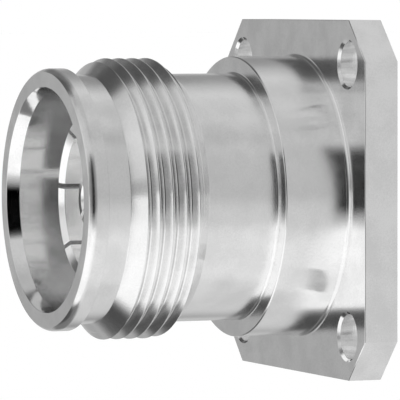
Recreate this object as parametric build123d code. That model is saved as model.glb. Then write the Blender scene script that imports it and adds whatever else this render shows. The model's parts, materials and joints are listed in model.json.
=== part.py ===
from build123d import *
import math
import os

# Flange-mounted coaxial jack with an M20 x 1 coupling thread, in millimetres.
# Every piece is turned about the local Z axis, with z = 0 on the rear face of the flange
# and the mouth at the top. The finished pieces are laid down at the end, so that the
# mouth looks along -Y, the rear face looks along +Y, and +Z is up.

# Flange
flange_side = 25.4
flange_thickness = 2.5
hole_spacing = 19.2
hole_diameter = 3.2
hole_to_corner = 2.473

# Outside of the body, from the flange to the mouth
shoulder_over_thread = 0.08
shoulder_length = 4.87
neck_under_thread = 1.14
neck_length = 5.27
thread_land_length = 4.06
nose_groove_length = 1.75
rim_over_groove = 0.45
rim_length = 0.92
rim_chamfer_length = 0.52
rim_chamfer_width = 0.26

# Coupling thread: ISO metric, right-handed
thread_diameter = 20.0
thread_pitch = 1.0
thread_crest_per_pitch = 0.125
thread_flank_angle = 30
thread_rear_chamfer_angle = 45
thread_phase = 0.53
thread_cutter_overshoot = 0.05

# Bores of the body, from the mouth to the flange
mouth_diameter = 15.36
mouth_lead_width = 0.32
mouth_lead_depth = 0.89
mouth_depth = 8.5
basket_seat_diameter = 12.8
basket_seat_depth = 4.2
line_diameter = 10.0
rear_bore_diameter = 7.0
rear_bore_length = 3.0

# Outer contact: a slotted spring basket, pressed into its seat
basket_recess = 3.2
finger_outer_diameter = 12.0
finger_thickness = 0.6
finger_count = 8
finger_root_length = 0.5
finger_slot_width = 0.33
finger_slot_angle = 172.5
finger_tip_edge = 0.2
basket_base_length = 2.2

# Centre contact: a slotted socket in front and a stepped pin behind
contact_diameter = 4.3
contact_recess = 3.3
contact_neck_diameter = 3.0
socket_diameter = 2.5
socket_depth = 5.2
socket_root_length = 1.0
socket_slot_count = 4
socket_slot_width = 0.3
socket_slot_angle = 45
rear_stem_diameter = 2.6
rear_pin_diameter = 2.1
rear_pin_reach = 3.6

# Insulators
rear_insulator_collar_length = 2.0
rear_insulator_reach = 1.0

# Fits: radial gap between pieces that seat in each other
fit_gap = 0.02

# Diameters that follow from the sizes above
flange_blank_diameter = hole_spacing * math.sqrt(2) + 2 * hole_to_corner
shoulder_diameter = thread_diameter + 2 * shoulder_over_thread
neck_diameter = thread_diameter - 2 * neck_under_thread
rim_diameter = neck_diameter + 2 * rim_over_groove
finger_inner_diameter = finger_outer_diameter - 2 * finger_thickness

# Heights that follow from the sizes above
shoulder_front = flange_thickness + shoulder_length
neck_front = shoulder_front + neck_length
rear_chamfer_length = neck_under_thread * math.tan(math.radians(thread_rear_chamfer_angle))
lead_chamfer_length = neck_under_thread * math.tan(math.radians(thread_flank_angle))
land_rear = neck_front + rear_chamfer_length
land_front = land_rear + thread_land_length
groove_rear = land_front + lead_chamfer_length
rim_rear = groove_rear + nose_groove_length
rim_shoulder = rim_rear + rim_length
rim_front = rim_shoulder + rim_chamfer_length
mouth_floor = rim_front - mouth_depth
seat_floor = mouth_floor - basket_seat_depth
bead_front = mouth_floor - basket_base_length
collar_front = rear_bore_length + rear_insulator_collar_length

# The thread's groove starts behind its land and ends in front of it, at whole turns
thread_start = land_rear - (1 + thread_phase) * thread_pitch
thread_turns = math.ceil((groove_rear - thread_start) / thread_pitch) + 1

# Solids that stand on their base height
standing = (Align.CENTER, Align.CENTER, Align.MIN)


def turned(outline):
    """Solid of revolution about Z, from a closed outline in radius and height."""
    return revolve(Plane.XZ * make_face(outline), Axis.Z, 360)


def thread_cutter():
    """Helical V groove, as deep as its flanks meet, so that only narrow crests remain."""
    slope = math.tan(math.radians(thread_flank_angle))
    half_at_crest = thread_pitch * (1 - thread_crest_per_pitch) / 2
    half_outer = half_at_crest + thread_cutter_overshoot * slope
    root_radius = thread_diameter / 2 - half_at_crest / slope
    outer_radius = thread_diameter / 2 + thread_cutter_overshoot
    helix = Helix(
        thread_pitch, thread_turns * thread_pitch, outer_radius, center=(0, 0, thread_start)
    )
    outline = Polyline(
        (root_radius, 0, thread_start),
        (outer_radius, 0, thread_start - half_outer),
        (outer_radius, 0, thread_start + half_outer),
        close=True,
    )
    return sweep(make_face(outline), path=helix, is_frenet=True)


def cut_thread(barrel):
    """Barrel with its thread: a grooved sleeve takes the place of the plain land."""
    low = thread_start - thread_pitch / 2
    high = groove_rear + nose_groove_length / 2
    slab = Pos(0, 0, low) * Cylinder(shoulder_diameter, high - low, align=standing)
    sleeve_length = (thread_turns + 2) * thread_pitch
    sleeve = Cylinder(thread_diameter / 2, sleeve_length, align=standing)
    sleeve = Pos(0, 0, thread_start - thread_pitch) * sleeve - thread_cutter()
    return (sleeve & (barrel & slab)) + (barrel - slab)


def make_flange():
    """Square milled from a round bar, so that its corners are arcs of the bar."""
    bar = Cylinder(flange_blank_diameter / 2, flange_thickness, align=standing)
    square = Box(flange_side, flange_side, flange_thickness, align=standing)
    drill = Cylinder(hole_diameter / 2, flange_thickness, align=standing)
    flange = bar & square
    for place in GridLocations(hole_spacing, hole_spacing, 2, 2):
        flange -= place * drill
    return flange


def make_barrel():
    """Turned outside of the body, from the rear face of the flange to the mouth."""
    neck = neck_diameter / 2
    rim = rim_diameter / 2
    thread = thread_diameter / 2
    shoulder = shoulder_diameter / 2
    return turned(Polyline(
        (0, 0),
        (shoulder, 0),
        (shoulder, shoulder_front),
        (neck, shoulder_front),
        (neck, neck_front),
        (thread, land_rear),
        (thread, land_front),
        (neck, groove_rear),
        (neck, rim_rear),
        (rim, rim_rear),
        (rim, rim_shoulder),
        (rim - rim_chamfer_width, rim_front),
        (0, rim_front),
        close=True,
    ))


def make_body():
    """Body: flange and barrel in one piece, threaded outside and stepped inside."""
    mouth = mouth_diameter / 2
    seat = basket_seat_diameter / 2
    line = line_diameter / 2
    rear = rear_bore_diameter / 2
    bores = turned(Polyline(
        (0, 0),
        (rear, 0),
        (rear, rear_bore_length),
        (line, rear_bore_length),
        (line, seat_floor),
        (seat, seat_floor),
        (seat, mouth_floor),
        (mouth, mouth_floor),
        (mouth, rim_front - mouth_lead_depth),
        (mouth + mouth_lead_width, rim_front),
        (0, rim_front),
        close=True,
    ))
    return cut_thread(make_barrel()) + make_flange() - bores


def slot_blades(radius, width, low, high, count, first_angle):
    """Blades that cut slots through one wall of a tube, open at its top end."""
    blade = Box(radius, width, high - low, align=(Align.MIN, Align.CENTER, Align.MIN))
    return [
        Rot(0, 0, first_angle + index * 360 / count) * Pos(0, 0, low) * blade
        for index in range(count)
    ]


def make_spring_basket():
    """Spring basket: a solid base ring with thin fingers around the mouth of the line."""
    base = basket_seat_diameter / 2 - fit_gap
    outer = finger_outer_diameter / 2
    inner = finger_inner_diameter / 2
    line = line_diameter / 2
    tip = rim_front - basket_recess
    basket = turned(Polyline(
        (line, bead_front),
        (base, bead_front),
        (base, mouth_floor),
        (outer, mouth_floor),
        (outer, tip - finger_tip_edge),
        (outer - finger_tip_edge, tip),
        (inner, tip),
        (inner, mouth_floor),
        (line, mouth_floor),
        close=True,
    ))
    slot_floor = mouth_floor + finger_root_length
    blades = slot_blades(
        base, finger_slot_width, slot_floor, tip, finger_count, finger_slot_angle
    )
    for blade in blades:
        basket -= blade
    return basket


def make_centre_contact():
    """Centre contact: slotted socket, neck held by the bead, line stretch, stem and pin."""
    outer = contact_diameter / 2
    neck = contact_neck_diameter / 2
    stem = rear_stem_diameter / 2
    pin = rear_pin_diameter / 2
    socket = socket_diameter / 2
    tip = rim_front - contact_recess
    socket_floor = tip - socket_depth
    contact = turned(Polyline(
        (0, -rear_pin_reach),
        (pin, -rear_pin_reach),
        (pin, -rear_insulator_reach),
        (stem, -rear_insulator_reach),
        (stem, collar_front),
        (outer, collar_front),
        (outer, seat_floor),
        (neck, seat_floor),
        (neck, bead_front),
        (outer, bead_front),
        (outer, tip),
        (socket, tip),
        (socket, socket_floor),
        (0, socket_floor),
        close=True,
    ))
    slot_floor = socket_floor + socket_root_length
    blades = slot_blades(
        outer, socket_slot_width, slot_floor, tip, socket_slot_count, socket_slot_angle
    )
    for blade in blades:
        contact -= blade
    return contact


def make_front_insulator():
    """Front insulator: a bead between the seat's floor and the basket's base."""
    outer = basket_seat_diameter / 2 - fit_gap
    hole = contact_neck_diameter / 2 + fit_gap
    return turned(Polyline(
        (hole, seat_floor),
        (outer, seat_floor),
        (outer, bead_front),
        (hole, bead_front),
        close=True,
    ))


def make_rear_insulator():
    """Rear insulator: a collar seated in the line bore and a neck through the flange."""
    collar = line_diameter / 2 - fit_gap
    neck = rear_bore_diameter / 2 - fit_gap
    hole = rear_stem_diameter / 2 + fit_gap
    return turned(Polyline(
        (hole, -rear_insulator_reach),
        (neck, -rear_insulator_reach),
        (neck, rear_bore_length),
        (collar, rear_bore_length),
        (collar, collar_front),
        (hole, collar_front),
        close=True,
    ))


pieces = {
    "body": make_body(),
    "spring_basket": make_spring_basket(),
    "centre_contact": make_centre_contact(),
    "front_insulator": make_front_insulator(),
    "rear_insulator": make_rear_insulator(),
}

os.makedirs("parts", exist_ok=True)
for name, piece in pieces.items():
    export_step(Rot(X=90) * piece, f"parts/{name}.step")
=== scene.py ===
import json
import math

import bmesh
import bpy
import numpy as np
from mathutils import Matrix, Vector
from mathutils.geometry import tessellate_polygon


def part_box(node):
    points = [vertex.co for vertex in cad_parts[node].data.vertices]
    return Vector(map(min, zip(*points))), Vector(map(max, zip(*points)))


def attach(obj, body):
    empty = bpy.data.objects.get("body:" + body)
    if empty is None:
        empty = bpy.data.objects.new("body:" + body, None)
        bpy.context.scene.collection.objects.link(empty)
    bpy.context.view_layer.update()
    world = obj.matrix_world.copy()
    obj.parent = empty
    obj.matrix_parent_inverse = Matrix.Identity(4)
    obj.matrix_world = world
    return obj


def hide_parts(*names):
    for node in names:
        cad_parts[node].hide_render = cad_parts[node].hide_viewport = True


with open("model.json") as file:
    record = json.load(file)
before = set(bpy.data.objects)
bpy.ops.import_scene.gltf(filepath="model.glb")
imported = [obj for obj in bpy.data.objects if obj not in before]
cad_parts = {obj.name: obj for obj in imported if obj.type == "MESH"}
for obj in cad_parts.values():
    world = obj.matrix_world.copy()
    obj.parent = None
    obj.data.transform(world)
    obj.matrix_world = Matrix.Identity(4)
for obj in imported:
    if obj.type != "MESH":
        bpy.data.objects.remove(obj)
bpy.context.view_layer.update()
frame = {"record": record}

# Looks of a flange-mounted coaxial jack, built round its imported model. Sizes are in
# millimetres and angles in degrees. A height is a distance from the flange's rear face towards
# the mouth, which looks along -Y. MM turns millimetres into metres.
MM = 0.001

# Sizes that the frame gives
body_low, body_high = (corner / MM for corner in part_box("body"))
basket_low, basket_high = (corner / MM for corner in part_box("spring_basket"))
contact_low, contact_high = (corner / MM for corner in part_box("centre_contact"))
bead_low, bead_high = (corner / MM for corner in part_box("front_insulator"))
collar_low, collar_high = (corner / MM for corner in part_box("rear_insulator"))
mounts = {mount["name"]: mount for mount in frame["record"]["mounts"]}
flange_side = body_high.x - body_low.x
rim_front = -body_low.y
hole_spacing = mounts["flange_holes"]["dims"]["spacing_x_mm"]
hole_radius = mounts["flange_holes"]["dims"]["hole_r_mm"]

# Flange
flange_thickness = 2.5
flange_corner_radius = 16.05
flange_edge = 0.06
hole_bevel = 0.18
hole_rear_edge = 0.04

# Outside of the body
shoulder_radius = 10.08
shoulder_front = 7.37
shoulder_edge = 0.12
inner_corner = 0.22
flange_corner = 0.3
neck_radius = 8.86
neck_front = 12.64
rim_radius = 9.31
rim_length = 0.92
rim_rounding_length = 0.52
rim_rounding_drop = 0.26
rim_rear_edge = 0.05
rim_face_edge = 0.04

# Coupling thread: a groove's bottom is at thread_groove_at_x on the +X side, and the lead cone
# meets the neck at thread_lead_front. The thread's mesh takes in a margin of plain neck at both
# ends, and has rows chamfer_softness before and after each corner of the two chamfers.
thread_radius = 10.0
thread_pitch = 1.0
thread_flank_angle = 38
thread_root_rounding = 0.12
thread_crest_rounding = 0.08
thread_rear_angle = 45
thread_lead_angle = 40
thread_lead_front = 18.498
thread_groove_at_x = 13.25
thread_zone_margin = 0.3
chamfer_softness = 0.02

# Bores
mouth_radius = 7.68
mouth_lead_width = 0.32
mouth_lead_depth = 0.89
mouth_lead_edge = 0.06
mouth_depth = 8.5
mouth_floor = rim_front - mouth_depth
seat_radius = 6.4
seat_depth = 4.2
seat_floor = mouth_floor - seat_depth
line_radius = 5.0
rear_bore_radius = 3.5
rear_bore_length = 3.0

# Spring basket
basket_base_radius = basket_high.x
basket_base_rear = -basket_high.y
finger_outer_radius = 6.0
finger_inner_radius = 5.4
finger_tip = -basket_low.y
finger_tip_lead = 0.33
finger_tip_edge = 0.05
finger_root_length = 0.5
finger_slot_floor = mouth_floor + finger_root_length
finger_slots = 8
finger_slot_width = 0.33
finger_slot_angle = 172.5
finger_edge = 0.03

# Centre contact
contact_radius = contact_high.x
contact_tip = -contact_low.y
contact_rear = -contact_high.y
stem_radius = 1.3
pin_radius = mounts["rear_pin"]["dims"]["r_mm"]
pin_chamfer = 0.3
contact_neck_radius = 1.5
socket_radius = mounts["contact_socket"]["dims"]["r_mm"]
socket_floor = contact_tip - mounts["contact_socket"]["dims"]["length_mm"]
socket_root_length = 1.0
socket_slot_floor = socket_floor + socket_root_length
socket_lead = 0.2
socket_tip_rounding = 0.28
socket_slots = 4
socket_slot_width = 0.3
socket_slot_angle = 45
socket_edge = 0.025

# Insulators
bead_radius = bead_high.x
bead_rear = -bead_high.y
bead_front = -bead_low.y
collar_radius = collar_high.x
collar_front = -collar_low.y
collar_neck_rear = -collar_high.y
fit_gap = 0.02
insulator_edge = 0.08
insulator_rear_edge = 0.2

# Columns of vertices round a full turn, and round one finger
body_columns = 384
hole_columns = 64
insulator_columns = 128
finger_columns = 24
socket_columns = 20

# Meshing: angles between the points of arcs, roots, crests and the flange's edge, and the least
# angle of a sharp edge. Slopes that differ by less than parallel don't meet, and points are
# joined where they agree in this many digits of a millimetre.
arc_step = 15
root_step = 15
crest_step = 12
bevel_angles = (0, 30, 60, 90)
sharp_angle = 40
large_face_weight = 90
parallel = 0.1
joined_digits = 5


class Shell:
    """Vertices and faces of one closed piece, in millimetres."""

    def __init__(self):
        self.points = []
        self.faces = []

    def row(self, points):
        """Adds a row of points and returns their numbers."""
        start = len(self.points)
        self.points.extend(tuple(point) for point in points)
        return list(range(start, len(self.points)))

    def band(self, first, second, closed=True):
        """Quads between two rows with as many points."""
        count = len(first)
        for index in range(count if closed else count - 1):
            after = (index + 1) % count
            self.faces.append((first[index], first[after], second[after], second[index]))

    def bands(self, rows, closed=True):
        """Quads between each row and the next."""
        for first, second in zip(rows, rows[1:]):
            self.band(first, second, closed)

    def fill(self, outer, holes):
        """Flat face across Y inside one ring and outside others."""
        rings = [outer, *holes]
        flat = [
            [Vector((self.points[n][0], self.points[n][2], 0)) for n in ring] for ring in rings
        ]
        numbers = [n for ring in rings for n in ring]
        for triangle in tessellate_polygon(flat):
            self.faces.append(tuple(numbers[corner] for corner in triangle))

    def piece(self, name):
        """Object with its points joined, and smooth shading that follows its large faces."""
        points = np.array(self.points)
        unique, numbers = np.unique(
            np.round(points, joined_digits), axis=0, return_inverse=True
        )
        numbers = numbers.reshape(-1)
        faces = []
        for face in self.faces:
            ring = []
            for corner in (int(numbers[n]) for n in face):
                if corner not in ring:
                    ring.append(corner)
            if len(ring) > 2:
                faces.append(ring)
        mesh = bpy.data.meshes.new(name)
        mesh.from_pydata(unique.tolist(), [], faces)
        mesh.validate()
        piece = bpy.data.objects.new(name, mesh)
        bpy.context.scene.collection.objects.link(piece)
        face_outward(piece)
        mesh.shade_smooth()
        mesh.set_sharp_from_angle(angle=math.radians(sharp_angle))
        lead_by_large_faces(piece)
        piece.data.transform(Matrix.Scale(MM, 4))
        return piece


def face_outward(piece):
    """Turns every face of a closed mesh to the outside."""
    form = bmesh.new()
    form.from_mesh(piece.data)
    bmesh.ops.recalc_face_normals(form, faces=form.faces)
    form.to_mesh(piece.data)
    form.free()


def lead_by_large_faces(piece):
    """Shades a corner mostly as its largest face.

    It works on millimetres, not on metres, because faces far below a square unit don't count.
    """
    weigh = piece.modifiers.new("large_faces_lead", "WEIGHTED_NORMAL")
    weigh.mode = "FACE_AREA"
    weigh.weight = large_face_weight
    weigh.keep_sharp = True
    graph = bpy.context.evaluated_depsgraph_get()
    piece.data = bpy.data.meshes.new_from_object(piece.evaluated_get(graph))
    piece.modifiers.clear()


def around(radius, height, columns, centre=(0, 0)):
    """Circle of points across the axis."""
    return [
        (
            centre[0] + radius * math.cos(2 * math.pi * column / columns),
            -height,
            centre[1] + radius * math.sin(2 * math.pi * column / columns),
        )
        for column in range(columns)
    ]


def arc_points(centre, radius, start, end):
    """Points on an arc in radius and height, between two angles in radians."""
    pieces = max(1, math.ceil(abs(math.degrees(end - start)) / arc_step))
    return [
        (
            centre[0] + radius * math.cos(start + (end - start) * piece / pieces),
            centre[1] + radius * math.sin(start + (end - start) * piece / pieces),
        )
        for piece in range(pieces + 1)
    ]


def rounded(*corners):
    """Open outline through corners of (radius, height, rounding), with its corners as arcs."""
    outline = []
    for index, (radius, height, rounding) in enumerate(corners):
        here = Vector((radius, height))
        if not rounding:
            outline.append((radius, height))
            continue
        back = (Vector(corners[index - 1][:2]) - here).normalized()
        ahead = (Vector(corners[index + 1][:2]) - here).normalized()
        half_turn = (math.pi - back.angle(ahead)) / 2
        reach = rounding * math.tan(half_turn)
        centre = here + (back + ahead).normalized() * rounding / math.cos(half_turn)
        from_centre = here + back * reach - centre
        to_centre = here + ahead * reach - centre
        start = math.atan2(from_centre.y, from_centre.x)
        end = math.atan2(to_centre.y, to_centre.x)
        end = start + (end - start + math.pi) % (2 * math.pi) - math.pi
        outline.extend(arc_points(centre, rounding, start, end))
    return outline


def lathe(shell, outline, columns, centre=(0, 0)):
    """Turned surface from an outline in radius and height. Returns its first and last rings."""
    rings = [shell.row(around(radius, height, columns, centre)) for radius, height in outline]
    shell.bands(rings)
    return rings[0], rings[-1]


def flange_outline(inset, height):
    """Square with corners that are arcs of the round bar it was cut from."""
    half = flange_side / 2 - inset
    corner = flange_corner_radius - inset
    turn = math.acos(half / corner)
    arc = arc_points((0, 0), corner, turn, math.pi / 2 - turn)
    points = []
    for quarter in range(4):
        spin = Matrix.Rotation(quarter * math.pi / 2, 2)
        points.extend(spin @ Vector(point) for point in arc)
    return [(point.x, -height, point.y) for point in points]


def thread_rows(columns):
    """Rows of the thread zone, from the neck to the nose groove.

    Each column has points where the roots, flanks, crests and chamfers meet, so its rows are
    sorted places along the axis. Points that fall together are joined later.
    """
    low = neck_front - thread_zone_margin
    high = thread_lead_front + thread_zone_margin
    rear_slope = 1 / math.tan(math.radians(thread_rear_angle))
    lead_slope = -1 / math.tan(math.radians(thread_lead_angle))
    flank_angle = math.radians(thread_flank_angle)
    slope = 1 / math.tan(flank_angle)
    half_pitch = thread_pitch / 2
    flank_start = thread_root_rounding * math.cos(flank_angle)
    flank_end = half_pitch - thread_crest_rounding * math.cos(flank_angle)
    apex = thread_radius + thread_crest_rounding * (1 / math.sin(flank_angle) - 1)
    valley = apex - half_pitch * slope
    bottom = valley + thread_root_rounding * (1 / math.sin(flank_angle) - 1)
    turn = np.linspace(0, 1, columns + 1)

    def chamfered(place):
        """Radius of the barrel with its two chamfers."""
        rear = neck_radius + (place - neck_front) * rear_slope
        lead = neck_radius + (place - thread_lead_front) * lead_slope
        return np.clip(np.minimum(rear, lead), neck_radius, thread_radius)

    def threaded(place):
        """Radius of an endless thread, with round roots and crests."""
        offset = (place - thread_groove_at_x - turn * thread_pitch) / thread_pitch
        offset = np.abs(offset - np.round(offset)) * thread_pitch
        flank = valley + offset * slope
        reach = np.sqrt(np.maximum(thread_root_rounding**2 - offset**2, 0))
        root = bottom + thread_root_rounding - reach
        reach = np.sqrt(np.maximum(thread_crest_rounding**2 - (half_pitch - offset) ** 2, 0))
        crest = thread_radius - thread_crest_rounding + reach
        flank = np.where(offset < flank_start, root, flank)
        return np.where(offset > flank_end, crest, flank)

    places = [np.full(columns + 1, edge) for edge in (low, high)]

    def add(place):
        """Adds a place for every column, kept inside the zone."""
        places.append(np.clip(place, low, high))

    def add_arc(centre, rounding, step):
        """Adds the places across a root or crest, between the flanks that it joins."""
        widest = 90 - thread_flank_angle
        for angle in range(-widest, widest + 1, step):
            add(centre + rounding * math.sin(math.radians(angle)))

    chamfers = ((neck_front, rear_slope), (thread_lead_front, lead_slope))
    for foot, chamfer_slope in chamfers:
        for reach in (0, bottom - neck_radius, thread_radius - neck_radius):
            for softness in (-chamfer_softness, chamfer_softness):
                add(np.full(columns + 1, foot + reach / chamfer_slope + softness))
    first = math.floor((low - thread_groove_at_x) / thread_pitch) - 1
    last = math.ceil((high - thread_groove_at_x) / thread_pitch) + 1
    for groove in range(first, last + 1):
        centre = thread_groove_at_x + (groove + turn) * thread_pitch
        add_arc(centre, thread_root_rounding, root_step)
        add_arc(centre + half_pitch, thread_crest_rounding, crest_step)
        for side in (-1, 1):
            ends = sorted((side * flank_start, side * flank_end))
            for foot, chamfer_slope in chamfers:
                difference = side * slope - chamfer_slope
                if abs(difference) > parallel:
                    rise = neck_radius - valley - foot * chamfer_slope
                    meeting = (rise + side * slope * centre) / difference
                    add(np.clip(meeting, centre + ends[0], centre + ends[1]))
    places = np.sort(np.array(places), axis=0)
    rows = []
    for place in places:
        radius = np.minimum(chamfered(place), threaded(place))
        angle = 2 * math.pi * turn
        rows.append(np.stack([radius * np.cos(angle), -place, radius * np.sin(angle)], axis=1))
    return rows


def make_slotted(name, behind, tip, floor, slots, width, first_angle, edge, columns):
    """Turned piece whose front end is cut by slots into fingers.

    behind is the outline before the fingers, tip the outline of one finger from its outside
    round to its inside, and floor the outline after it. All are in radius and height.
    """
    shell = Shell()
    inner = tip[-1][0]
    turn = 2 * math.pi / slots

    def ring(radius, height, inset):
        """Row of one point list per finger, with its two side walls set in by the edge."""
        gap = math.asin(width / 2 / max(radius, inner))
        soft = edge / max(radius, inner)
        row = []
        for slot in range(slots):
            start = math.radians(first_angle) + slot * turn
            steps = np.linspace(start + gap + soft, start + turn - gap - soft, columns)
            spots = [(inset[0], inset[1], start + gap)]
            spots.extend((radius, height, step) for step in steps)
            spots.append((inset[0], inset[1], start + turn - gap))
            row.append([(r * math.cos(a), -h, r * math.sin(a)) for r, h, a in spots])
        return row

    def closed_row(radius, height):
        """Row of all the fingers together, without edges between them."""
        return shell.row(sum(ring(radius, height, (radius, height)), []))

    outside = [closed_row(radius, height) for radius, height in (*behind, tip[0])]
    inside = [closed_row(radius, height) for radius, height in (tip[-1], *floor)]
    shell.bands(outside)
    shell.bands(inside)

    rows = []
    for index, (radius, height) in enumerate(tip[1:-1], start=1):
        ahead = Vector(tip[index + 1]) - Vector(tip[index - 1])
        inward = Vector((-ahead.y, ahead.x)).normalized() * edge
        rows.append(ring(radius, height, (radius + inward.x, height + inward.y)))
    count = columns + 2
    for slot in range(slots):
        first = outside[-1][slot * count : (slot + 1) * count]
        last = inside[0][slot * count : (slot + 1) * count]
        finger = [first, *(shell.row(row[slot]) for row in rows), last]
        shell.bands(finger, closed=False)
        for side in (0, -1):
            for step in range(len(finger) // 2):
                near, far = step, len(finger) - 1 - step
                if far - near > 1:
                    shell.faces.append(
                        (
                            finger[near][side],
                            finger[near + 1][side],
                            finger[far - 1][side],
                            finger[far][side],
                        )
                    )
        after = ((slot + 1) % slots) * count
        shell.faces.append((first[-1], outside[-1][after], inside[0][after], last[-1]))
    return shell.piece(name)


def make_spring_basket():
    """Base ring with spring fingers, each with a lead-in cone at its tip."""
    behind = rounded(
        (line_radius, basket_base_rear, 0),
        (basket_base_radius, basket_base_rear, 0),
        (basket_base_radius, mouth_floor, rim_face_edge),
        (finger_outer_radius, mouth_floor, 0),
    )
    tip = rounded(
        (finger_outer_radius, finger_slot_floor, 0),
        (finger_outer_radius, finger_slot_floor + finger_edge, 0),
        (finger_outer_radius, finger_tip, finger_tip_edge),
        (finger_inner_radius, finger_tip - finger_tip_lead, finger_tip_edge),
        (finger_inner_radius, finger_slot_floor + finger_edge, 0),
        (finger_inner_radius, finger_slot_floor, 0),
    )
    floor = [
        (finger_inner_radius, mouth_floor),
        (line_radius, mouth_floor),
        (line_radius, basket_base_rear),
    ]
    return make_slotted(
        "spring_basket_finish",
        behind,
        tip,
        floor,
        finger_slots,
        finger_slot_width,
        finger_slot_angle,
        finger_edge,
        finger_columns,
    )


def make_centre_contact():
    """Slotted socket, neck, line stretch, stem and rear pin."""
    middle = (contact_radius + socket_radius) / 2
    behind = rounded(
        (0, contact_rear, 0),
        (pin_radius - pin_chamfer, contact_rear, 0),
        (pin_radius, contact_rear + pin_chamfer, 0),
        (pin_radius, collar_neck_rear, 0),
        (stem_radius, collar_neck_rear, 0),
        (stem_radius, collar_front, 0),
        (contact_radius, collar_front, 0),
        (contact_radius, bead_rear, 0),
        (contact_neck_radius, bead_rear, 0),
        (contact_neck_radius, bead_front, 0),
        (contact_radius, bead_front, 0),
    )
    tip = rounded(
        (contact_radius, socket_slot_floor, 0),
        (contact_radius, socket_slot_floor + socket_edge, 0),
        (contact_radius, contact_tip, socket_tip_rounding),
        (middle, contact_tip, 0),
        (socket_radius + socket_lead, contact_tip, 0),
        (socket_radius, contact_tip - socket_lead, 0),
        (socket_radius, socket_slot_floor + socket_edge, 0),
        (socket_radius, socket_slot_floor, 0),
    )
    floor = [(socket_radius, socket_floor), (0, socket_floor)]
    return make_slotted(
        "centre_contact_finish",
        behind,
        tip,
        floor,
        socket_slots,
        socket_slot_width,
        socket_slot_angle,
        socket_edge,
        socket_columns,
    )


def make_front_insulator():
    """Bead between the seat's floor and the basket's base."""
    shell = Shell()
    hole = contact_neck_radius + fit_gap
    outline = rounded(
        (hole, bead_rear, 0),
        (bead_radius, bead_rear, insulator_edge),
        (bead_radius, bead_front, insulator_edge),
        (hole, bead_front, 0),
        (hole, bead_rear, 0),
    )
    lathe(shell, outline, insulator_columns)
    return shell.piece("front_insulator_finish")


def make_rear_insulator():
    """Collar in the line bore, with a neck through the flange."""
    shell = Shell()
    hole = stem_radius + fit_gap
    neck = rear_bore_radius - fit_gap
    outline = rounded(
        (hole, collar_neck_rear, 0),
        (neck, collar_neck_rear, insulator_rear_edge),
        (neck, rear_bore_length, 0),
        (collar_radius, rear_bore_length, 0),
        (collar_radius, collar_front, insulator_edge),
        (hole, collar_front, 0),
        (hole, collar_neck_rear, 0),
    )
    lathe(shell, outline, insulator_columns)
    return shell.piece("rear_insulator_finish")


def make_body():
    """Flange and barrel in one piece."""
    shell = Shell()
    lower = rounded(
        (shoulder_radius + flange_corner, flange_thickness, 0),
        (shoulder_radius, flange_thickness, flange_corner),
        (shoulder_radius, shoulder_front, shoulder_edge),
        (neck_radius, shoulder_front, inner_corner),
        (neck_radius, neck_front - thread_zone_margin, 0),
    )
    rounding_radius = (rim_rounding_drop**2 + rim_rounding_length**2) / (2 * rim_rounding_drop)
    rounding_turn = math.asin(rim_rounding_length / rounding_radius)
    rim_shoulder = rim_front - rim_rounding_length
    rim_centre = (rim_radius - rounding_radius, rim_shoulder)
    rim_arc = arc_points(rim_centre, rounding_radius, 0, rounding_turn)
    rim_rear = rim_shoulder - rim_length
    upper = rounded(
        (neck_radius, thread_lead_front + thread_zone_margin, 0),
        (neck_radius, rim_rear, rim_rear_edge),
        (rim_radius, rim_rear, rim_rear_edge),
        (rim_radius, rim_shoulder - rim_rear_edge, 0),
    )
    front = rounded(
        (*rim_arc[-2], 0),
        (*rim_arc[-1], rim_face_edge),
        (mouth_radius + mouth_lead_width, rim_front, rim_face_edge),
        (mouth_radius, rim_front - mouth_lead_depth, mouth_lead_edge),
        (mouth_radius, mouth_floor, mouth_lead_edge),
        (seat_radius, mouth_floor, rim_face_edge),
        (seat_radius, seat_floor, 0),
        (line_radius, seat_floor, 0),
        (line_radius, rear_bore_length, 0),
        (rear_bore_radius, rear_bore_length, 0),
        (rear_bore_radius, hole_rear_edge, 0),
        (rear_bore_radius + hole_rear_edge, 0, 0),
    )
    shoulder_ring, _ = lathe(shell, lower, body_columns)
    _, rear_ring = lathe(shell, [*upper, *rim_arc[:-1], *front[1:]], body_columns)
    zone = [shell.row(row) for row in thread_rows(body_columns)]
    shell.bands(zone, closed=False)

    front_edge = []
    for bevel in map(math.radians, bevel_angles):
        inset = flange_edge * (1 - math.sin(bevel))
        front_edge.append((inset, flange_thickness - flange_edge * (1 - math.cos(bevel))))
    rear_edge = [(inset, flange_thickness - height) for inset, height in reversed(front_edge)]
    rings = [shell.row(flange_outline(*place)) for place in (*front_edge, *rear_edge)]
    shell.bands(rings)

    front_holes = [shoulder_ring]
    rear_holes = [rear_ring]
    for x in (-hole_spacing / 2, hole_spacing / 2):
        for z in (-hole_spacing / 2, hole_spacing / 2):
            outline = [
                (hole_radius + hole_bevel, flange_thickness),
                (hole_radius, flange_thickness - hole_bevel),
                (hole_radius, hole_rear_edge),
                (hole_radius + hole_rear_edge, 0),
            ]
            first, last = lathe(shell, outline, hole_columns, (x, z))
            front_holes.append(first)
            rear_holes.append(last)
    shell.fill(rings[0], front_holes)
    shell.fill(rings[-1], rear_holes)
    return shell.piece("body_finish")


# Camera, from the photograph's view of the flange, its holes and the rings of the body. Its
# near and far limits are in metres.
camera_azimuth = 68.137
camera_elevation = 2.506
camera_roll = -0.072
camera_distance = 330.37
camera_focal_length = 414.69
camera_sensor = 36.0
camera_near = 0.01
camera_far = 10.0
aim_height = 10.0
aim_right = 0.175
aim_up = -0.204


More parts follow.
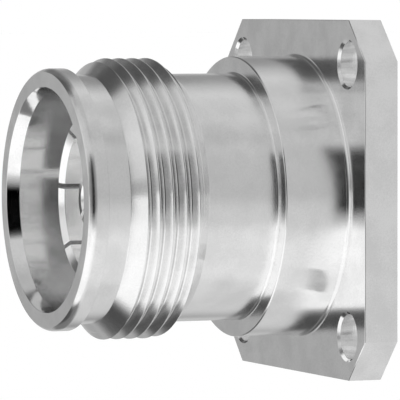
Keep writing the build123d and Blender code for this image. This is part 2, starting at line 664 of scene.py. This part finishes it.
def make_camera():
    """Camera at the photograph's viewing angle."""
    azimuth = math.radians(camera_azimuth)
    elevation = math.radians(camera_elevation)
    right = Vector((math.cos(azimuth), math.sin(azimuth), 0))
    back = Vector(
        (
            math.sin(azimuth) * math.cos(elevation),
            -math.cos(azimuth) * math.cos(elevation),
            math.sin(elevation),
        )
    )
    up = back.cross(right)
    aim = Vector((0, -aim_height, 0)) + aim_right * right + aim_up * up
    data = bpy.data.cameras.new("camera")
    data.sensor_fit = "HORIZONTAL"
    data.sensor_width = camera_sensor
    data.lens = camera_focal_length
    data.clip_start = camera_near
    data.clip_end = camera_far
    camera = bpy.data.objects.new("camera", data)
    bpy.context.scene.collection.objects.link(camera)
    roll = Matrix.Rotation(math.radians(camera_roll), 3, "Z")
    turn = Matrix((right, up, back)).transposed() @ roll
    camera.matrix_world = Matrix.Translation((aim + camera_distance * back) * MM) @ turn.to_4x4()
    bpy.context.scene.camera = camera


class Nodes:
    """Short way to add and join shader nodes."""

    def __init__(self, tree):
        self.tree = tree
        tree.nodes.clear()

    def add(self, kind, inputs=None, **settings):
        """Adds a node. An input is a value, or an output to join to it."""
        node = self.tree.nodes.new(kind)
        for setting, value in settings.items():
            setattr(node, setting, value)
        for socket, value in (inputs or {}).items():
            if isinstance(value, bpy.types.NodeSocket):
                self.tree.links.new(value, node.inputs[socket])
            else:
                node.inputs[socket].default_value = value
        return node

    def math(self, operation, *values):
        """Math node of numbers and outputs."""
        node = self.add("ShaderNodeMath", operation=operation)
        for socket, value in zip(node.inputs, values):
            if isinstance(value, bpy.types.NodeSocket):
                self.tree.links.new(value, socket)
            else:
                socket.default_value = value
        return node.outputs[0]

    def mix(self, share, low, high):
        """Number between two others, as far along as the share."""
        node = self.add("ShaderNodeMix", {0: share, 2: low, 3: high}, data_type="FLOAT")
        return node.outputs[0]

    def between(self, value, low, high, new_low, new_high):
        """Value moved smoothly from one range to another and kept inside it."""
        node = self.add(
            "ShaderNodeMapRange",
            {"Value": value, 1: low, 2: high, 3: new_low, 4: new_high},
            interpolation_type="SMOOTHSTEP",
        )
        return node.outputs[0]

    def noise(self, place, scale, detail):
        """Noise pattern from 0 to 1."""
        inputs = {"Vector": place, "Scale": scale, "Detail": detail}
        return self.add("ShaderNodeTexNoise", inputs).outputs["Fac"]


# Plating and insulators: colours in linear light, and strengths of the bumps
body_colour = (0.92, 0.92, 0.92, 1)
body_roughness = 0.17
body_anisotropy = 0.97
body_grain = 0.014
flange_roughness = 0.11
bore_roughness = 0.17
# The bore's colour is made a little darker: painted shade inside the recess
bore_painted_shade = 0.985
lead_roughness = 0.06
contact_colour = (0.975, 0.975, 0.975, 1)
contact_roughness = 0.12
contact_anisotropy = 0.0
contact_grain = 0.008
basket_roughness = 0.2
no_painted_shade = 1.0
turning_marks = 0.02
insulator_colour = (0.93, 0.93, 0.925, 1)
insulator_roughness = 0.5
insulator_grain = 0.05
insulator_ior = 1.38

# Patterns: noise scales per millimetre, their details, and the height of a bump in metres
cloud_scale = 0.45
cloud_detail = 3
grain_scale = 9.0
grain_detail = 2
turning_scale = 11.0
turning_detail = 2
insulator_cloud_scale = 0.8
insulator_grain_scale = 7.0
bump_distance = 1e-4

# How far the patterns change the colour and the roughness: ranges of the pattern, and shares
plating_shades = (-0.09, 0.04)
grain_in_shade = 0.5
shade_range = (0.5, 1.0)
cloud_range = (0.35, 0.7)
cloud_gloss = (0.85, 1.15)
grain_in_gloss = 0.2
insulator_shades = (-0.03, 0.02)
insulator_gloss_range = (0.3, 0.7)
insulator_gloss_spread = 0.06

# How far the finishes of parts of a piece reach past the faces that they cover, or stop short
# of them. The flange's ends at a radius beyond its corners.
finish_margin = 0.01
flange_finish_start = 0.1
flange_finish_end = 20
lead_finish_end = 0.02
basket_finish_inside = 0.05
basket_finish_outside = 0.02

# Turn of the gloss from round the axis to along it, in full turns
gloss_turn = 0.25


def per_mm(nodes):
    """Place on the object in millimetres."""
    place = nodes.add("ShaderNodeTexCoord").outputs["Object"]
    return nodes.add(
        "ShaderNodeVectorMath", {0: place, "Scale": 1 / MM}, operation="SCALE"
    ).outputs[0]


def shaded(colour, spread):
    """A colour made darker or lighter by a share."""
    return tuple(min(1.0, channel * (1 + spread)) for channel in colour[:3]) + (1,)


def make_plating(name, colour, roughness, anisotropy, grain, finishes):
    """Satin plating on turned metal: fine grain, faint turning marks and soft cloudiness.

    Each finish is (from and to in radius, from and to in height, roughness, painted shade), with
    lengths in millimetres and painted shade as a share of the colour: below one, the colour of
    the faces it covers is darkened as painted shade.
    """
    material = bpy.data.materials.new(name)
    material.use_nodes = True
    nodes = Nodes(material.node_tree)
    place = per_mm(nodes)
    x, y, z = nodes.add("ShaderNodeSeparateXYZ", {0: place}).outputs
    along = nodes.add("ShaderNodeCombineXYZ", {1: y}).outputs[0]
    clouds = nodes.noise(place, cloud_scale, cloud_detail)
    fine = nodes.noise(place, grain_scale, grain_detail)
    turning = nodes.noise(along, turning_scale, turning_detail)

    mottle = nodes.math("ADD", clouds, nodes.math("MULTIPLY", fine, grain_in_shade))
    share = nodes.between(mottle, *shade_range, 0, 1)
    dark, light = (shaded(colour, shade) for shade in plating_shades)
    tint = nodes.add("ShaderNodeMix", {0: share, 6: dark, 7: light}, data_type="RGBA").outputs[2]

    squares = nodes.math("ADD", nodes.math("POWER", x, 2.0), nodes.math("POWER", z, 2.0))
    radius = nodes.math("SQRT", squares)
    height = nodes.math("MULTIPLY", y, -1.0)
    base = roughness
    painted_shade = no_painted_shade
    # Each finish sets its own roughness, and a share below one darkens the colour: painted shade
    for inner, outer, low, high, finish_roughness, finish_painted_shade in finishes:
        cover = nodes.math(
            "MULTIPLY",
            nodes.math("COMPARE", radius, (inner + outer) / 2, (outer - inner) / 2),
            nodes.math("COMPARE", height, (low + high) / 2, (high - low) / 2),
        )
        base = nodes.mix(cover, base, finish_roughness)
        painted_shade = nodes.mix(cover, painted_shade, finish_painted_shade)
    shaded_tint = nodes.add("ShaderNodeVectorMath", {0: tint, "Scale": painted_shade}, operation="SCALE")
    spread = nodes.math(
        "ADD",
        nodes.between(clouds, *cloud_range, *cloud_gloss),
        nodes.math("MULTIPLY", nodes.math("SUBTRACT", fine, 0.5), grain_in_gloss),
    )
    gloss = nodes.math("MULTIPLY", base, spread)

    # The grain is under the turning marks, and the gloss spreads along the axis, across them
    normal = None
    for pattern, strength in ((fine, grain), (turning, turning_marks)):
        inputs = {"Height": pattern, "Strength": strength, "Distance": bump_distance}
        if normal:
            inputs["Normal"] = normal
        normal = nodes.add("ShaderNodeBump", inputs).outputs[0]
    tangent = nodes.add("ShaderNodeTangent", direction_type="RADIAL", axis="Y").outputs[0]
    shader = nodes.add(
        "ShaderNodeBsdfPrincipled",
        {
            "Base Color": shaded_tint.outputs[0],
            "Metallic": 1.0,
            "Roughness": gloss,
            "Normal": normal,
            "Anisotropic": anisotropy,
            "Anisotropic Rotation": gloss_turn,
            "Tangent": tangent,
        },
    )
    nodes.add("ShaderNodeOutputMaterial", {"Surface": shader.outputs[0]})
    return material


def make_insulator_material():
    """Matt white fluoropolymer with faint grain and soft cloudiness."""
    material = bpy.data.materials.new("white_fluoropolymer")
    material.use_nodes = True
    nodes = Nodes(material.node_tree)
    place = per_mm(nodes)
    clouds = nodes.noise(place, insulator_cloud_scale, cloud_detail)
    fine = nodes.noise(place, insulator_grain_scale, grain_detail)
    dark, light = (shaded(insulator_colour, shade) for shade in insulator_shades)
    tint = nodes.add("ShaderNodeMix", {0: clouds, 6: dark, 7: light}, data_type="RGBA")
    gloss = nodes.between(
        fine,
        *insulator_gloss_range,
        insulator_roughness - insulator_gloss_spread,
        insulator_roughness + insulator_gloss_spread,
    )
    bump = nodes.add(
        "ShaderNodeBump",
        {"Height": fine, "Strength": insulator_grain, "Distance": bump_distance},
    )
    shader = nodes.add(
        "ShaderNodeBsdfPrincipled",
        {
            "Base Color": tint.outputs[2],
            "Roughness": gloss,
            "Normal": bump.outputs[0],
            "IOR": insulator_ior,
        },
    )
    nodes.add("ShaderNodeOutputMaterial", {"Surface": shader.outputs[0]})
    return material


# Studio as the plating mirrors it. Each window is (name, from and to in azimuth, from and to in
# elevation, level, soft edge): angles in degrees seen from the object, where azimuth 0 is
# straight ahead of the mouth and 90 is +X, and level as a share of white. A later window
# covers the ones before it, and what none covers has the upper level.
upper_level = 0.56
windows = (
    ("upper_front", -20, 76, 34, 72, 0.58, 14),
    ("upper_rear", 150, 232, 30, 72, 0.65, 14),
    ("upper_right", 84, 132, 50, 100, 0.46, 12),
    ("zenith", -200, 200, 70, 120, 0.50, 16),
    ("rear_band", 82, 236, -30, 0, 0.66, 12),
    ("lower_wall", -200, 200, -120, -26, 0.80, 16),
    ("front_table", -32, 94, -84, -18, 1.10, 12),
    ("front_glow", -50, 8, 6, 34, 0.80, 12),
    ("front_foot", 8, 44, -30, -15, 0.92, 8),
    ("front_strip", -32, 20, -30, 2, 1.08, 4),
    ("stand_haze", -4, 24, 9, 26, 0.72, 10),
    ("stand_side", -4, 26, 2, 9, 0.48, 4),
    ("stand", 22, 62, -7, 28, 0.22, 12),
    ("grey_foot", 56, 98, -22, 2, 0.52, 12),
    ("grey_wall", 70, 106, -6, 40, 0.38, 12),
    ("dark_wall", 56, 90, -7, 38, 0.18, 10),
    ("dark_core", 50, 83, -13, 36, 0.0, 13),
    ("curtain_side", -120, -60, 15, 66, 0.30, 12),
    ("upper_gap", -50, -14, 50, 74, 0.42, 10),
    ("upper_curtain", -104, -38, 15, 69, 0.15, 14),
    ("upper_fold", -72, -46, 24, 58, 0.08, 10),
    ("lower_left", -200, -108, -78, -26, 0.67, 12),
    ("lower_curtain", -116, -35, -84, -28, 0.20, 14),
    ("lower_fold", -72, -42, -60, -30, 0.08, 10),
    ("left_panel", -98, -60, -28, 20, 0.40, 10),
)


# Light goes to and fro between the plated walls of the mouth, so it may bounce often
mirror_bounces = 24
diffuse_bounces = 12

# Floor, in metres
floor_height = -0.036
floor_reach = 6.0


def make_floor():
    """Plain white floor, which mirror rays don't see."""
    mesh = bpy.data.meshes.new("floor")
    ways = ((-1, -1), (1, -1), (1, 1), (-1, 1))
    corners = [(x * floor_reach, y * floor_reach, floor_height) for x, y in ways]
    mesh.from_pydata(corners, [], [(0, 1, 2, 3)])
    floor = bpy.data.objects.new("floor", mesh)
    bpy.context.scene.collection.objects.link(floor)
    material = bpy.data.materials.new("floor_white")
    material.use_nodes = True
    nodes = Nodes(material.node_tree)
    shader = nodes.add("ShaderNodeBsdfDiffuse", {"Color": (1, 1, 1, 1)})
    nodes.add("ShaderNodeOutputMaterial", {"Surface": shader.outputs[0]})
    mesh.materials.append(material)
    floor.visible_glossy = False


def make_world():
    """Even white light from all round, and the studio's windows for mirror rays alone."""
    world = bpy.data.worlds.new("studio")
    world.use_nodes = True
    nodes = Nodes(world.node_tree)
    place = nodes.add("ShaderNodeTexCoord").outputs["Generated"]
    parts = nodes.add("ShaderNodeSeparateXYZ", {0: place})
    forward = nodes.math("MULTIPLY", parts.outputs[1], -1.0)
    azimuth = nodes.math("DEGREES", nodes.math("ARCTAN2", parts.outputs[0], forward))
    elevation = nodes.math("DEGREES", nodes.math("ARCSINE", parts.outputs[2]))

    def inside(value, low, high, softness, wraps):
        """One between two angles, zero outside them, with soft edges. Azimuth wraps round."""
        away = nodes.math("SUBTRACT", value, (low + high) / 2)
        if wraps:
            away = nodes.math("WRAP", away, 180.0, -180.0)
        half = (high - low) / 2
        away = nodes.math("ABSOLUTE", away)
        return nodes.between(away, half - softness / 2, half + softness / 2, 1, 0)

    level = upper_level
    for _, west, east, low, high, window_level, softness in windows:
        cover = nodes.math(
            "MULTIPLY",
            inside(azimuth, west, east, softness, True),
            inside(elevation, low, high, softness, False),
        )
        level = nodes.mix(cover, level, window_level)

    # A mirror ray sees the windows, unless a matt surface comes before it
    path = nodes.add("ShaderNodeLightPath").outputs
    unscattered = nodes.math("LESS_THAN", path["Diffuse Depth"], 0.5)
    mirrored = nodes.math("MULTIPLY", path["Is Glossy Ray"], unscattered)
    strength = nodes.mix(mirrored, 1.0, level)
    background = nodes.add("ShaderNodeBackground", {"Color": (1, 1, 1, 1), "Strength": strength})
    nodes.add("ShaderNodeOutputWorld", {"Surface": background.outputs[0]})
    bpy.context.scene.world = world


flange_finish = (
    shoulder_radius + flange_finish_start,
    flange_finish_end,
    -finish_margin,
    flange_thickness + finish_margin,
    flange_roughness,
    no_painted_shade,
)
# The bore gets painted shade: its colour is darkened a little inside the recess
bore_finish = (
    0,
    mouth_radius + finish_margin,
    0,
    rim_front - mouth_lead_depth,
    bore_roughness,
    bore_painted_shade,
)
lead_finish = (
    mouth_radius + finish_margin,
    mouth_radius + mouth_lead_width,
    mouth_floor,
    rim_front - lead_finish_end,
    lead_roughness,
    no_painted_shade,
)
basket_finish = (
    finger_inner_radius - basket_finish_inside,
    finger_inner_radius + basket_finish_outside,
    mouth_floor,
    finger_tip,
    basket_roughness,
    no_painted_shade,
)
plated_body = make_plating(
    "satin_plating",
    body_colour,
    body_roughness,
    body_anisotropy,
    body_grain,
    (flange_finish, bore_finish, lead_finish),
)
plated_contact = make_plating(
    "bright_plating",
    contact_colour,
    contact_roughness,
    contact_anisotropy,
    contact_grain,
    (basket_finish,),
)
fluoropolymer = make_insulator_material()

for make, node, slot, material in (
    (make_body, "body", "plated_body", plated_body),
    (make_spring_basket, "spring_basket", "plated_contact", plated_contact),
    (make_centre_contact, "centre_contact", "plated_contact", plated_contact),
    (make_front_insulator, "front_insulator", "insulator", fluoropolymer),
    (make_rear_insulator, "rear_insulator", "insulator", fluoropolymer),
):
    piece = make()
    piece.data.materials.append(material)
    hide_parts(node)
    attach(piece, "root")

make_camera()
make_world()
make_floor()
scene = bpy.context.scene
scene.view_settings.view_transform = "Standard"
scene.cycles.max_bounces = mirror_bounces
scene.cycles.glossy_bounces = mirror_bounces
scene.cycles.diffuse_bounces = diffuse_bounces
scene.cycles.blur_glossy = 0.0
